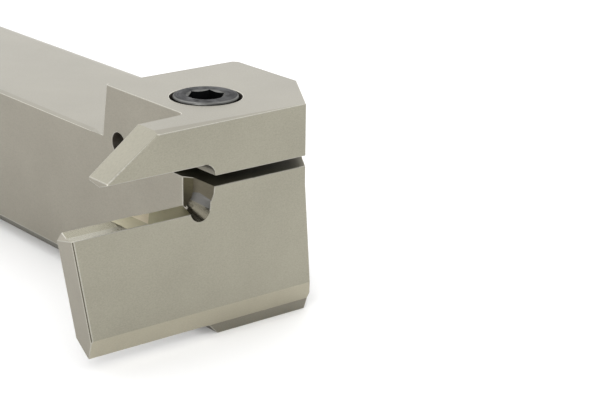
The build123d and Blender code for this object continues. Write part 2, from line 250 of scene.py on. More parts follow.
@dataclass(frozen=True)
class MetalFinish:
    """A procedural metal material: a finish, or a finish whose colour carries painted light or
    shade.

    Attributes:
        name: The material's name.
        colour: Linear colour of the metal, with painted light or shade in it where the zone carries
            some.
        roughness: Middle roughness.
        roughness_spread: How far the roughness varies with the marks.
        stain: How far the colour varies in broad soft patches.
        speckle: How far the colour varies with the marks.
        marks: Size of the marks along X, Y and Z in millimetres; equal sizes are a plain grain.
        patch: Size of the broad patches in millimetres.
        bump: Height of the marks in metres.
        metallic: 1 for bare metal, less under an oxide.
        rings: Pitch of turning marks in millimetres, or 0 for none.
        grazing: How much of a metal's full shine shows at a grazing angle.
    """

    name: str
    colour: Triple
    roughness: float
    roughness_spread: float = 0.14
    stain: float = 0.06
    speckle: float = 0.13
    marks: Triple = (0.3, 0.3, 0.3)
    patch: float = 14.0
    bump: float = 0.000012
    metallic: float = 1.0
    rings: float = 0.0
    grazing: float = 1.0

    def build(self) -> bpy.types.Material:
        """Builds the material.

        Returns:
            The material.
        """
        material = bpy.data.materials.new(self.name)
        material.use_nodes = True
        tree = material.node_tree
        shader = tree.nodes["Principled BSDF"]
        shader.inputs["Metallic"].default_value = self.metallic
        shader.inputs["Specular Tint"].default_value = (*[self.grazing] * 3, 1.0)
        if self.rings:
            marks = self.group(tree, "turning_rings", {"Pitch": self.rings})
        else:
            marks = self.group(tree, "metal_grain", dict(zip("XYZ", self.marks)))
        broad = self.group(tree, "metal_grain", dict.fromkeys("XYZ", self.patch))
        stained = self.group(
            tree, "tone", {"Depth": self.stain * TONE_GAIN, "Colour": (*self.colour, 1.0)}
        )
        tree.links.new(broad.outputs["Height"], stained.inputs["Mask"])
        speckled = self.group(tree, "tone", {"Depth": self.speckle * TONE_GAIN})
        tree.links.new(marks.outputs["Height"], speckled.inputs["Mask"])
        tree.links.new(stained.outputs["Colour"], speckled.inputs["Colour"])
        tree.links.new(speckled.outputs["Colour"], shader.inputs["Base Color"])
        rough = add_node(tree, "ShaderNodeMapRange")
        rough.inputs["From Min"].default_value = NOISE_LOW
        rough.inputs["From Max"].default_value = NOISE_HIGH
        rough.inputs["To Min"].default_value = self.roughness - self.roughness_spread / 2
        rough.inputs["To Max"].default_value = self.roughness + self.roughness_spread / 2
        tree.links.new(marks.outputs["Height"], rough.inputs["Value"])
        tree.links.new(rough.outputs["Result"], shader.inputs["Roughness"])
        bump = add_node(tree, "ShaderNodeBump")
        bump.inputs["Distance"].default_value = self.bump
        tree.links.new(marks.outputs["Height"], bump.inputs["Height"])
        tree.links.new(bump.outputs["Normal"], shader.inputs["Normal"])
        return material

    @staticmethod
    def group(tree: bpy.types.NodeTree, name: str, values: dict[str, object]) -> bpy.types.Node:
        """Places a shared node group in a material.

        Args:
            tree: The material's tree.
            name: The group's name.
            values: Its inputs' values.

        Returns:
            The group's node.
        """
        node = add_node(tree, "ShaderNodeGroup", node_tree=bpy.data.node_groups[name])
        for label, value in values.items():
            node.inputs[label].default_value = value
        return node


NICKEL: Triple = (0.215, 0.203, 0.167)
# Materials of the holder's zones: SATIN and NOTCH are finishes, the others carry painted light,
# shade or reflection as noted.
STEEL_FINISHES_AND_PAINTED_LIGHT: dict[Zone, MetalFinish] = {
    Zone.SATIN: MetalFinish("satin_nickel", NICKEL, roughness=0.42, marks=(0.36, 0.18, 0.18)),
    # Lighter edges: partly wear, partly a painted highlight along the broken edges and the nose
    # chamfer.
    Zone.EDGE: MetalFinish(
        "worn_edge_and_painted_highlight", (0.4, 0.385, 0.335), roughness=0.36, marks=(0.2, 0.2, 0.2), speckle=0.2
    ),
    # Stop wall in the pocket, darkened as painted shade and a painted dark reflection of the slit
    # above.
    Zone.STOP: MetalFinish(
        "stop_wall_painted_shade", (0.10, 0.088, 0.06), roughness=0.34, marks=(0.8, 0.8, 0.06)
    ),
    # Ledge in the pocket, darkened as painted shade.
    Zone.LEDGE: MetalFinish(
        "ledge_painted_shade", (0.125, 0.122, 0.113), roughness=0.38, marks=(0.8, 0.1, 0.1)
    ),
    # Lower relief in the pocket, darkened as painted shade.
    Zone.RELIEF: MetalFinish(
        "relief_painted_shade", (0.13, 0.119, 0.088), roughness=0.26, marks=(0.8, 0.1, 0.1)
    ),
    # Back walls of the pocket and the blade's narrow front chamfer, darkened as painted shade.
    Zone.BACK: MetalFinish(
        "back_wall_painted_shade", (0.083, 0.075, 0.053), roughness=0.34, marks=(0.8, 0.8, 0.06)
    ),
    # Seat, a little darker than the nickel as a painted reflection.
    Zone.SEAT: MetalFinish(
        "seat_painted_reflection", (0.188, 0.176, 0.124), roughness=0.3, marks=(1.2, 0.1, 0.1)
    ),
    # Seat floor, lighter than the nickel as a painted reflection.
    Zone.SEAT_FLOOR: MetalFinish(
        "seat_floor_painted_reflection", (0.43, 0.41, 0.28), roughness=0.34, marks=(1.2, 0.1, 0.1)
    ),
    # Hole walls, lightened as painted light inside the holes.
    Zone.BORE: MetalFinish(
        "bored_hole_painted_light", (0.33, 0.30, 0.255), roughness=0.42, marks=(0.4, 0.4, 0.05)
    ),
    # Slit faces, darkened as painted shade in the gap between the jaws.
    Zone.SLIT: MetalFinish("slit_painted_shade", (0.15, 0.14, 0.10), roughness=0.55, marks=(0.1, 1.2, 0.1)),
    Zone.NOTCH: MetalFinish(
        "milled_notch", (0.185, 0.174, 0.141), roughness=0.36, marks=(1.2, 0.1, 0.1)
    ),
    # Front faces: the same nickel lightened as painted light.
    Zone.FRONT: MetalFinish(
        "front_nickel_painted_light", (0.312, 0.298, 0.24), roughness=0.42, marks=(0.16, 0.3, 0.16)
    ),
    # Foot bevel, much lighter than the nickel as a painted reflection of the bright floor.
    Zone.FOOT_BEVEL: MetalFinish(
        "foot_bevel_painted_reflection", (0.445, 0.418, 0.333), roughness=0.62, marks=(0.16, 0.3, 0.16)
    ),
    # Nose slope: the same nickel lightened as painted light.
    Zone.SLOPE: MetalFinish(
        "nose_slope_painted_light", (0.268, 0.256, 0.208), roughness=0.4, marks=(0.25, 0.5, 0.5)
    ),
    # Land, lighter than the nickel as a painted reflection.
    Zone.LAND: MetalFinish(
        "land_painted_reflection", (0.43, 0.40, 0.28), roughness=0.34, marks=(1.2, 0.1, 0.1)
    ),
    # Run-out, very light as a painted reflection.
    Zone.RUN_OUT: MetalFinish(
        "run_out_painted_reflection", (0.74, 0.67, 0.52), roughness=0.36, marks=(1.2, 0.1, 0.1)
    ),
    # Shank side: the same nickel lightened as painted light.
    Zone.SIDE: MetalFinish(
        "side_nickel_painted_light", (0.285, 0.266, 0.221), roughness=0.42, marks=(0.36, 0.18, 0.18)
    ),
    # Faces under the head and along the shank's foot, darkened as painted shade.
    Zone.UNDER: MetalFinish(
        "under_facet_painted_shade", (0.15, 0.141, 0.108), roughness=0.45, marks=(0.3, 0.6, 0.3)
    ),
}
# Screw materials: TURNED and THREAD are finishes, SOCKET and WORN carry painted shade and highlight
# as noted.
SCREW_FINISHES_AND_PAINTED_LIGHT: dict[ScrewZone, MetalFinish] = {
    ScrewZone.TURNED: MetalFinish(
        "black_oxide",
        (0.095, 0.095, 0.096),
        roughness=0.42,
        stain=0.6,
        speckle=0.7,
        patch=1.8,
        rings=0.16,
        grazing=0.4,
    ),
    # Hexagon socket, near black as painted shade down the hole.
    ScrewZone.SOCKET: MetalFinish(
        "socket_painted_shade", (0.016, 0.017, 0.018), roughness=0.5, marks=(0.2, 0.2, 0.8), grazing=0.3
    ),
    # Countersink and rounded rim, lighter: partly wear, partly a painted highlight.
    ScrewZone.WORN: MetalFinish(
        "worn_oxide_and_painted_highlight",
        (0.135, 0.135, 0.13),
        roughness=0.4,
        stain=0.5,
        speckle=0.4,
        patch=2.5,
        rings=0.14,
        grazing=0.4,
    ),
    ScrewZone.THREAD: MetalFinish(
        "rolled_thread", (0.09, 0.09, 0.092), roughness=0.4, metallic=0.9, marks=(0.3, 0.3, 0.1)
    ),
}


# =====================================================================================
# Holder body
# =====================================================================================
SAME_WAY = 0.7  # Least dot product of two directions that count as one.


@dataclass(frozen=True)
class Region:
    """A box, in millimetres, whose faces take one material: a finish, or a colour with painted
    light or shade.

    Attributes:
        zone: The material's zone, a finish or painted light or shade.
        low: Lowest corner.
        high: Highest corner.
        facing: Direction that the faces turn to, or None for any.
    """

    zone: Zone
    low: Triple
    high: Triple
    facing: Triple | None = None

    def holds(self, face: bmesh.types.BMFace) -> bool:
        """Tells whether a face belongs here.

        Args:
            face: The face.

        Returns:
            True if its middle is in the box and it turns the right way.
        """
        middle = face.calc_center_median() / MM
        spans = zip(self.low, middle, self.high)
        inside = all(low <= value <= high for low, value, high in spans)
        return inside and (self.facing is None or face.normal.dot(Vector(self.facing)) > SAME_WAY)


REGIONS: tuple[Region, ...] = (
    Region(Zone.FRONT, (28.5, -36.0, 4.9), (28.7, 13.0, 33.4), (1.0, 0.0, 0.0)),
    Region(Zone.BORE, (10.8, -9.8, 9.0), (22.0, 1.4, 23.7)),
    Region(Zone.BORE, (10.8, -9.8, 25.4), (22.0, 1.4, 33.25)),
    Region(Zone.BORE, (3.0, -13.0, 22.7), (6.72, 13.0, 26.5)),
    Region(Zone.SLIT, (6.6, -12.6, 23.7), (28.7, 12.6, 23.8), (0.0, 0.0, 1.0)),
    Region(Zone.SLIT, (6.6, -12.6, 25.2), (28.7, 12.6, 25.35), (0.0, 0.0, -1.0)),
    Region(Zone.BACK, (21.9, -12.55, 19.1), (23.4, -11.4, 23.8), (0.61, -0.79, 0.0)),
    Region(Zone.BACK, (21.9, -12.6, 19.0), (24.35, -11.9, 19.85)),
    Region(Zone.STOP, (22.9, -12.1, 21.75), (28.7, -11.4, 23.76)),
    Region(Zone.LEDGE, (22.9, -12.4, 20.45), (28.7, -11.4, 21.75)),
    Region(Zone.RELIEF, (22.5, -15.7, 18.8), (28.7, -11.7, 20.5)),
    Region(Zone.BACK, (21.5, -14.2, 18.5), (24.4, -11.4, 20.6)),
    Region(Zone.SEAT_FLOOR, (24.2, -23.1, 20.25), (28.7, -14.1, 20.35), (0.0, 0.0, 1.0)),
    Region(Zone.RUN_OUT, (24.2, -23.6, 20.3), (28.7, -20.0, 20.45), (0.0, 0.0, 1.0)),
    Region(Zone.LAND, (24.2, -26.5, 20.3), (28.7, -20.0, 20.45), (0.0, 0.0, 1.0)),
    Region(Zone.SEAT, (24.2, -35.5, 20.15), (28.7, -26.3, 20.45), (0.0, 0.0, 1.0)),
    Region(Zone.NOTCH, (23.2, -14.6, 25.35), (28.7, -11.2, 27.2)),
    Region(Zone.FOOT_BEVEL, (26.7, -36.0, 1.5), (28.7, 13.0, 5.1), (0.88, 0.0, -0.47)),
    Region(Zone.SLOPE, (22.9, -30.0, 27.0), (28.7, -20.6, 33.4), (0.0, -0.55, 0.83)),
    # The nose chamfer takes the lighter edge material as a painted highlight.
    Region(Zone.EDGE, (28.3, -29.6, 27.0), (28.7, -20.6, 33.2), (0.71, -0.39, 0.59)),
    # The blade's narrow front chamfer takes the dark back wall material as a painted dark
    # reflection.
    Region(Zone.BACK, (28.3, -35.5, 4.4), (28.7, -32.4, 20.5), (0.71, -0.70, -0.12)),
    Region(Zone.SIDE, (-122.0, -36.0, 0.0), (28.7, -12.4, 33.4), (0.0, -1.0, 0.0)),
    Region(Zone.UNDER, (24.2, -36.0, 1.5), (26.9, -12.4, 4.3), (-0.72, 0.0, -0.69)),
    Region(Zone.UNDER, (-122.0, -13.0, -0.1), (28.7, -9.0, 3.0), (0.0, -0.71, -0.71)),
)


@dataclass
class HolderBody:
    """The one-piece steel body, with every sharp edge broken by a small round.

    Attributes:
        node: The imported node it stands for.
        edge_round: Width of the broken edges.
        merge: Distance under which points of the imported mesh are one.
        join: Distance under which points are one once the edges are broken.
        flat: Angle under which neighbouring triangles are one flat face.
        crease: Angle from which an edge is broken.
        facet: Widest facet of a rounded surface.
        facet_turn: Largest turn between facets of a rounded surface.
        thin: Share of a face's depth that a broken edge may take.
        least_share: Least part of its full width that a broken edge may have.
        largest_facet: Largest area of a facet of a rounded surface.
        segments: Number of faces across a broken edge.
    """

    node: str = "holder_body"
    edge_round: float = 0.11 * MM
    merge: float = 0.055 * MM
    join: float = 0.002 * MM
    flat: float = radians(0.4)
    crease: float = radians(36)
    facet: float = 0.95 * MM
    facet_turn: float = radians(17)
    thin: float = 0.25
    least_share: float = 0.6
    largest_facet: float = 30 * MM * MM
    segments: int = 2

    def is_facet_edge(self, edge: bmesh.types.BMEdge) -> bool:
        """Tells whether an edge only divides the facets of a rounded surface.

        Args:
            edge: The edge.

        Returns:
            True if one of its faces is a narrow facet whose other long edge turns as gently.
        """
        for face in edge.link_faces:
            if len(face.verts) == 3 and face.calc_area() / edge.calc_length() < self.facet / 2:
                return True
            if len(face.verts) != 4 or face.calc_area() / edge.calc_length() > self.facet:
                continue
            across = next(other for other in face.edges if not set(other.verts) & set(edge.verts))
            turn = across.calc_face_angle(0.0)
            if len(across.link_faces) == 2 and self.flat < turn < self.facet_turn:
                return True
        return False

    def mark_edges(self, work: bmesh.types.BMesh) -> None:
        """Marks the facets of rounded surfaces as smooth, and which edges are sharp or broken.

        Args:
            work: The body's mesh.
        """
        breaks = work.edges.layers.float.new("bevel_weight_edge")
        for edge in work.edges:
            turn = edge.calc_face_angle(0.0)
            edge.smooth = turn < self.flat
            if self.flat < turn < self.facet_turn and self.is_facet_edge(edge):
                edge.smooth = True
                for face in edge.link_faces:
                    face.smooth = face.calc_area() < self.largest_facet
            elif turn > self.crease and edge.is_convex:
                depth = min(face.calc_area() for face in edge.link_faces) / edge.calc_length()
                share = min(1.0, self.thin * depth / self.edge_round)
                edge[breaks] = share if share > self.least_share else 0.0

    def mesh(self) -> bpy.types.Mesh:
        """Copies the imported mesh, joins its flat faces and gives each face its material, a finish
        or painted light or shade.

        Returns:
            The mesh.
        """
        mesh = bpy.data.meshes.new("holder_steel")
        work = bmesh.new()
        work.from_mesh(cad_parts[self.node].data)
        bmesh.ops.remove_doubles(work, verts=work.verts, dist=self.merge)
        bmesh.ops.dissolve_limit(work, angle_limit=self.flat, verts=work.verts, edges=work.edges)
        work.normal_update()
        for face in work.faces:
            region = next((region for region in REGIONS if region.holds(face)), None)
            face.material_index = region.zone.value if region else Zone.SATIN.value
        self.mark_edges(work)
        work.to_mesh(mesh)
        work.free()
        return mesh

    def build(self) -> bpy.types.Object:
        """Builds the piece.

        Returns:
            The finished object.
        """
        mesh = self.mesh()
        for zone in Zone:
            mesh.materials.append(STEEL_FINISHES_AND_PAINTED_LIGHT[zone].build())
        piece = link(bpy.data.objects.new("holder_steel", mesh))
        rounding = piece.modifiers.new("broken_edges", "BEVEL")
        rounding.width = self.edge_round
        rounding.segments = self.segments
        rounding.limit_method = "WEIGHT"
        rounding.use_clamp_overlap = False
        # The rounds take the EDGE material, lighter as wear and as a painted highlight.
        rounding.material = Zone.EDGE.value
        joining = piece.modifiers.new("joined_points", "WELD")
        joining.merge_threshold = self.join
        return piece


# =====================================================================================
# Clamp screw
# =====================================================================================
@dataclass
class ClampScrew:
    """The socket head cap screw that draws the jaws together.

    Attributes:
        node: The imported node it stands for.
        head_height: Height of the head.
        shank_radius: Radius over the thread's crests.
        socket_flats: Half the hexagon's width across flats.
        socket_depth: Depth of the hexagon.
        socket_turn: Angle of one of the hexagon's corners.
        mouth_radius: Radius of the countersink round the socket.
        mouth_slope: Fall of the countersink for each unit inwards.
        rim_round: Radius of the head's rounded rim.
        rim_steps: Number of steps round the rim.
        foot: Height of the rounded foot of the head.
        side_steps: Number of steps up the head's side.
        land: Width of the flat ring between the countersink and the rim.
        land_drop: Fall of the ring's inner edge.
        floor_share: Width of the socket's flat floor, as a share of the hexagon's.
        drill_depth: Depth of the drilled point under the socket.
        ribs: Number of knurled ribs round the head.
        columns_per_rib: Columns of points that make one rib.
        rib_depth: Depth of the grooves between the ribs.
        knurl_inner: How far inside the head's side the knurl still reaches.
        pitch: The thread's pitch.
        thread_depth: Depth of the thread.
        thread_columns: Columns of points round the thread.
        sunk: How far the threaded shank is sunk into the head.
        sharp: Angle from which an edge is shaded sharp.
    """

    node: str = "clamp_screw"
    head_height: float = 6.0 * MM
    shank_radius: float = 3.0 * MM
    socket_flats: float = 2.5 * MM
    socket_depth: float = 3.0 * MM
    socket_turn: float = radians(13)
    mouth_radius: float = 2.95 * MM
    mouth_slope: float = 0.45
    rim_round: float = 0.4 * MM
    rim_steps: int = 6
    foot: float = 0.3 * MM
    side_steps: int = 6
    land: float = 0.12 * MM
    land_drop: float = 0.02 * MM
    floor_share: float = 0.8
    drill_depth: float = 0.6 * MM
    ribs: int = 45
    columns_per_rib: int = 4
    rib_depth: float = 0.16 * MM
    knurl_inner: float = 0.3 * MM
    pitch: float = 1.0 * MM
    thread_depth: float = 0.54 * MM
    thread_columns: int = 48
    sunk: float = 0.2 * MM
    sharp: float = radians(26)

    def __post_init__(self) -> None:
        """Takes the screw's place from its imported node."""
        low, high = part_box(self.node)
        self.axis = (low + high) / 2
        self.head_radius = (high.x - low.x) / 2
        self.top = high.z
        self.seat = self.top - self.head_height
        self.tip = low.z

    def socket_radius(self, angle: float) -> float:
        """Gives the hexagon's radius at an angle."""
        across = (angle - self.socket_turn) % (pi / 3) - pi / 6
        return self.socket_flats / cos(across)

    def head_rings(self) -> list[tuple[float, float]]:
        """Lists the head's rings from its foot, up its side and over the rim to the socket's mouth.

        Returns:
            Radius and height of each ring.
        """
        outer, rim, foot = self.head_radius, self.rim_round, self.foot
        rings = [(outer - foot * 1.6, self.seat), (outer - foot * 0.5, self.seat + foot * 0.4)]
        low, high = self.seat + foot, self.top - rim
        for step in range(self.side_steps + 1):
            rings.append((outer, low + step / self.side_steps * (high - low)))
        for step in range(1, self.rim_steps + 1):
            turn = step / self.rim_steps * pi / 2
            rings.append((outer - rim + rim * cos(turn), high + rim * sin(turn)))
        rings.append((self.mouth_radius + self.land, self.top))
        rings.append((self.mouth_radius, self.top - self.land_drop))
        return rings

    def head(self) -> bpy.types.Mesh:
        """Makes the head with its hexagon socket, before the knurl.

        Returns:
            The mesh.
        """
        columns = self.ribs * self.columns_per_rib
        angles = [self.socket_turn + 2 * pi * step / columns for step in range(columns)]
        rings = [[(radius, height) for _ in angles] for radius, height in self.head_rings()]
        sockets = [self.socket_radius(angle) for angle in angles]
        mouth = [self.top - self.mouth_slope * (self.mouth_radius - radius) for radius in sockets]
        bottom = self.top - self.socket_depth
        rings.append(list(zip(sockets, mouth)))
        for share in (0.12, 0.5, 1.0):
            depths = [start + share * (bottom - start) for start in mouth]
            rings.append(list(zip(sockets, depths)))
        rings.append([(radius * self.floor_share, bottom) for radius in sockets])
        work = bmesh.new()
        lattice = []
        for ring in rings:
            spots = [
                (self.axis.x + radius * cos(angle), self.axis.y + radius * sin(angle), height)
                for (radius, height), angle in zip(ring, angles)
            ]
            lattice.append([work.verts.new(spot) for spot in spots])
        for lower, upper in zip(lattice, lattice[1:]):
            for column in range(columns):
                after = (column + 1) % columns
                work.faces.new((lower[column], lower[after], upper[after], upper[column]))
        for ring, height in ((lattice[0], self.seat), (lattice[-1], bottom - self.drill_depth)):
            centre = work.verts.new((self.axis.x, self.axis.y, height))
            for column in range(columns):
                work.faces.new((ring[column], ring[(column + 1) % columns], centre))
        bmesh.ops.recalc_face_normals(work, faces=work.faces)
        mesh = bpy.data.meshes.new("screw_head")
        work.to_mesh(mesh)
        work.free()
        return mesh

    def zone(self, face: bmesh.types.BMFace) -> ScrewZone:
        """Tells which material a face of the head has.

        Args:
            face: The face.

        Returns:
            SOCKET, darkened as painted shade, down the hexagon; WORN, lighter as wear and as a
            painted highlight, on the countersink and the rounded rim; else TURNED.
        """
        middle = face.calc_center_median()
        if middle.z <= self.seat + MM:
            return ScrewZone.TURNED
        steep = face.normal.z < 0.5
        inside = (middle - self.axis).xy.length < self.mouth_radius
        if inside and (steep or middle.z < self.top - MM):
            return ScrewZone.SOCKET
        slanted = 0.05 < face.normal.z < 0.97
        return ScrewZone.WORN if slanted else ScrewZone.TURNED

    def build(self) -> bpy.types.Object:
        """Builds the piece.

        Returns:
            The finished object.
        """
        screw_materials = {zone: finish.build() for zone, finish in SCREW_FINISHES_AND_PAINTED_LIGHT.items()}
        head = KnurlTree(screw_materials[ScrewZone.TURNED]).apply(
            self.head(),
            {
                "Axis": (self.axis.x, self.axis.y, 0.0),
                "Ribs": self.ribs,
                "Depth": self.rib_depth,
                "Low": self.seat + self.foot,
                "High": self.top - self.rim_round,
                "Inner": self.head_radius - self.knurl_inner,
                "Start": self.socket_turn,
            },
        )
        thread = ThreadTree(screw_materials[ScrewZone.THREAD]).apply(
            bpy.data.meshes.new("screw_thread"),
            {
                "Axis": (self.axis.x, self.axis.y, self.tip),
                "Radius": self.shank_radius,
                "Depth": self.thread_depth,
                "Pitch": self.pitch,
                "Length": self.seat - self.tip + self.sunk,
                "Columns": self.thread_columns,
            },
        )
        work = bmesh.new()
        work.from_mesh(head)
        for face in work.faces:
            face.material_index = self.zone(face).value
        seen = len(work.faces)
        work.from_mesh(thread)
        work.faces.ensure_lookup_table()
        for face in work.faces[seen:]:
            face.material_index = ScrewZone.THREAD.value
        bmesh.ops.recalc_face_normals(work, faces=work.faces)
        mesh = bpy.data.meshes.new("cap_screw")
        work.to_mesh(mesh)
        work.free()
        for zone in ScrewZone:
            mesh.materials.append(screw_materials[zone])
        mesh.shade_smooth()
        mesh.set_sharp_from_angle(angle=self.sharp)
        return link(bpy.data.objects.new("cap_screw", mesh))


class ShapeTree:
    """A Geometry Nodes tree under construction, with short ways to add and join nodes."""

    name = "shape"
    inputs: dict[str, str] = {}

    def __init__(self, material: bpy.types.Material) -> None:
        """Builds the tree.

        Args:
            material: The material that its result takes.
        """
        self.tree = bpy.data.node_groups.new(self.name, "GeometryNodeTree")
        add_socket = self.tree.interface.new_socket
        for side in ("INPUT", "OUTPUT"):
            add_socket(name="Geometry", in_out=side, socket_type="NodeSocketGeometry")
        for label, kind in self.inputs.items():
            add_socket(name=label, in_out="INPUT", socket_type=kind)
        self.source = self.tree.nodes.new("NodeGroupInput")
        self.sink = self.tree.nodes.new("NodeGroupOutput")
        realize = self.tree.nodes.new("GeometryNodeRealizeInstances")
        dress = self.tree.nodes.new("GeometryNodeSetMaterial")
        dress.inputs["Material"].default_value = material
        self.tree.links.new(self.shape(), realize.inputs[0])
        self.tree.links.new(realize.outputs[0], dress.inputs["Geometry"])
        self.tree.links.new(dress.outputs[0], self.sink.inputs[0])

    def shape(self) -> bpy.types.NodeSocket:
        """Adds the nodes that make the shape.

        Returns:
            The socket that gives the shape.
        """
        return self.source.outputs["Geometry"]

    def given(self, label: str) -> bpy.types.NodeSocket:
        """Gives a named input's socket."""
        return self.source.outputs[label]

    def node(self, kind: str, *values: object, **settings: object) -> bpy.types.Node:
        """Adds a node and joins or sets its inputs in order.

        Args:
            kind: The node's type name.
            values: Sockets to join or values to set; None skips one.
            settings: Attributes to set on it.

        Returns:
            The new node.
        """
        node = self.tree.nodes.new(kind)
        for key, value in settings.items():
            setattr(node, key, value)
        usable = [socket for socket in node.inputs if socket.enabled]
        for socket, value in zip(usable, values):
            if isinstance(value, bpy.types.NodeSocket):
                self.tree.links.new(value, socket)
            elif value is not None:
                socket.default_value = value
        return node

    def math(self, operation: str, *values: object) -> bpy.types.NodeSocket:
        """Adds a math node and gives its output."""
        return self.node("ShaderNodeMath", *values, operation=operation).outputs[0]

    def vector(self, operation: str, *values: object) -> bpy.types.NodeSocket:
        """Adds a vector math node and gives its vector output."""
        return self.node("ShaderNodeVectorMath", *values, operation=operation).outputs["Vector"]

    def apply(self, mesh: bpy.types.Mesh, values: dict[str, object]) -> bpy.types.Mesh:
        """Runs the tree on a mesh.

        Args:
            mesh: The mesh that goes in.
            values: The inputs' values, by name.

        Returns:
            The plain mesh that comes out.
        """
        carrier = link(bpy.data.objects.new(self.name, mesh))
        modifier = carrier.modifiers.new(self.name, "NODES")
        modifier.node_group = self.tree
        for socket in self.tree.interface.items_tree:
            if socket.in_out == "INPUT" and socket.name in values:
                modifier[socket.identifier] = values[socket.name]
        graph = bpy.context.evaluated_depsgraph_get()
        result = bpy.data.meshes.new_from_object(carrier.evaluated_get(graph))
        carrier.modifiers.remove(modifier)
        bpy.data.objects.remove(carrier)
        return result


class KnurlTree(ShapeTree):
    """Presses straight ribs into the side of a round head."""

    name = "straight_knurl"
    inputs = {
        "Axis": "NodeSocketVector",
        "Ribs": "NodeSocketInt",
        "Depth": "NodeSocketFloat",
        "Low": "NodeSocketFloat",
        "High": "NodeSocketFloat",
        "Inner": "NodeSocketFloat",
        "Start": "NodeSocketFloat",
    }

    def shape(self) -> bpy.types.NodeSocket:
        """Adds the nodes that draw every second column of the head's side inwards.

        Returns:
            The knurled geometry.
        """
        position = self.node("GeometryNodeInputPosition").outputs[0]
        centred = self.vector("SUBTRACT", position, self.given("Axis"))
        flat = self.vector("MULTIPLY", centred, (1.0, 1.0, 0.0))
        reach = self.node("ShaderNodeVectorMath", flat, operation="LENGTH").outputs["Value"]
        parts = self.node("ShaderNodeSeparateXYZ", centred)
        angle = self.math("ARCTAN2", parts.outputs["Y"], parts.outputs["X"])
        turned = self.math("SUBTRACT", angle, self.given("Start"))
        phase = self.math("MULTIPLY", turned, self.given("Ribs"))
        groove = self.math("MULTIPLY", self.math("SUBTRACT", 1.0, self.math("COSINE", phase)), 0.5)
        above = self.math("GREATER_THAN", parts.outputs["Z"], self.given("Low"))
        below = self.math("LESS_THAN", parts.outputs["Z"], self.given("High"))
        outside = self.math("GREATER_THAN", reach, self.given("Inner"))
        where = self.math("MULTIPLY", self.math("MULTIPLY", above, below), outside)
        depth = self.math("MULTIPLY", self.math("MULTIPLY", groove, where), self.given("Depth"))
        outward = self.vector("NORMALIZE", flat)
        inward = self.node("ShaderNodeVectorMath", outward, operation="SCALE")
        self.tree.links.new(self.math("MULTIPLY", depth, -1.0), inward.inputs["Scale"])
        moved = self.node("GeometryNodeSetPosition", self.given("Geometry"))
        self.tree.links.new(inward.outputs["Vector"], moved.inputs["Offset"])
        return moved.outputs["Geometry"]


